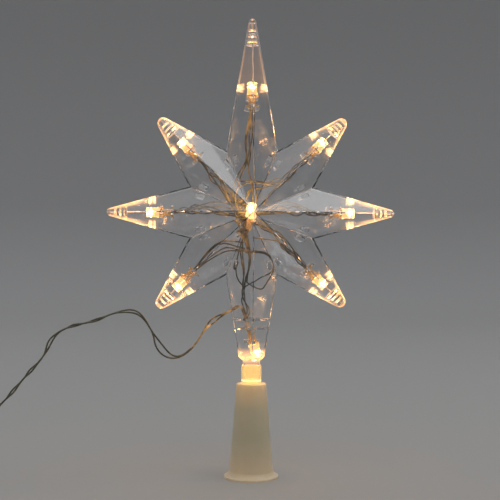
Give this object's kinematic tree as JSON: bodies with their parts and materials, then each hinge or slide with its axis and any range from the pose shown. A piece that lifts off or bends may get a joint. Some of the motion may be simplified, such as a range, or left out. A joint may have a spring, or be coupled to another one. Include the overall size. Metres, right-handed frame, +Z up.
{
  "type": "lighted tree-top star",
  "caption": "Clear faceted eight-pointed tree-top star with lamps inside, on a conical socket that slips over a tree's leader, with a thin lead to a battery pack.",
  "frame": {"origin": "centre of the socket's round underside, on the surface that the star stands on", "axes": "+Z up along the axis of the socket and the long ray, -Y out of the star's front face, the lead leaves towards -X"},
  "size_m": [0.3256, 0.036, 0.2285],
  "materials": {
    "clear_shell": "clear, polished",
    "lamp_lens": "clear, lit warm white",
    "lamp_sleeve": "clear, satin",
    "tinned_steel": "bright tin plate",
    "wire_insulation": "dark olive, slightly translucent",
    "frosted_collar": "frosted",
    "milky_cone": "milky, satin",
    "pack_plastic": "fine moulded texture",
    "dark_plastic": "satin",
    "cell_jacket": "printed film, two colours",
    "circuit_laminate": "solder mask",
    "tie_plastic": "plastic-covered wire",
    "grommet_rubber": "soft"
  },
  "bodies": {
    "star": {"back_shell": "clear_shell", "battery_1": "cell_jacket", "battery_2": "cell_jacket", "circuit_board": "circuit_laminate", "coil_tie": "tie_plastic", "contact_plates": "tinned_steel", "contact_springs": "tinned_steel", "front_shell": "clear_shell", "lamp_leads_bottom": "tinned_steel", "lamp_leads_centre_front": "tinned_steel", "lamp_leads_centre_rear": "tinned_steel", "lamp_leads_left": "tinned_steel", "lamp_leads_lower_left": "tinned_steel", "lamp_leads_lower_right": "tinned_steel", "lamp_leads_right": "tinned_steel", "lamp_leads_top": "tinned_steel", "lamp_leads_upper_left": "tinned_steel", "lamp_leads_upper_right": "tinned_steel", "lamp_lens_bottom": "lamp_lens", "lamp_lens_centre_front": "lamp_lens", "lamp_lens_centre_rear": "lamp_lens", "lamp_lens_left": "lamp_lens", "lamp_lens_lower_left": "lamp_lens", "lamp_lens_lower_right": "lamp_lens", "lamp_lens_right": "lamp_lens", "lamp_lens_top": "lamp_lens", "lamp_lens_upper_left": "lamp_lens", "lamp_lens_upper_right": "lamp_lens", "lamp_sleeve_bottom": "lamp_sleeve", "lamp_sleeve_centre_front": "lamp_sleeve", "lamp_sleeve_centre_rear": "lamp_sleeve", "lamp_sleeve_left": "lamp_sleeve", "lamp_sleeve_lower_left": "lamp_sleeve", "lamp_sleeve_lower_right": "lamp_sleeve", "lamp_sleeve_right": "lamp_sleeve", "lamp_sleeve_top": "lamp_sleeve", "lamp_sleeve_upper_left": "lamp_sleeve", "lamp_sleeve_upper_right": "lamp_sleeve", "lead_coil": "wire_insulation", "lead_cord": "wire_insulation", "lead_grommet": "grommet_rubber", "lead_inside": "wire_insulation", "lead_tail": "wire_insulation", "pack_case": "pack_plastic", "pack_deck": "pack_plastic", "switch_body": "tinned_steel", "wiring_bottom": "wire_insulation", "wiring_centre": "wire_insulation", "wiring_core": "wire_insulation", "wiring_left": "wire_insulation", "wiring_lower_left": "wire_insulation", "wiring_lower_right": "wire_insulation", "wiring_right": "wire_insulation", "wiring_top": "wire_insulation", "wiring_upper_left": "wire_insulation", "wiring_upper_right": "wire_insulation"},
    "collar": {"neck_collar": "frosted_collar"},
    "cone": {"cone_socket": "milky_cone"},
    "cover": {"pack_cover": "pack_plastic"},
    "knob": {"switch_knob": "dark_plastic"}
  },
  "joints": [
    {"name": "star_swivel", "type": "hinge", "parent": "star", "child": "collar", "pos_m": [0, 0, 0.046], "axis": [0, 0, 1], "continuous": true},
    {"name": "cone_pull_off", "type": "slide", "parent": "collar", "child": "cone", "axis": [0, 0, -1], "range_m": [0, 0.01]},
    {"name": "cover_slide", "type": "slide", "parent": "star", "child": "cover", "axis": [-1, 0, 0], "range_m": [0, 0.052]},
    {"name": "switch_slide", "type": "slide", "parent": "star", "child": "knob", "axis": [0, 1, 0], "range_m": [0, 0.0046]}
  ]
}
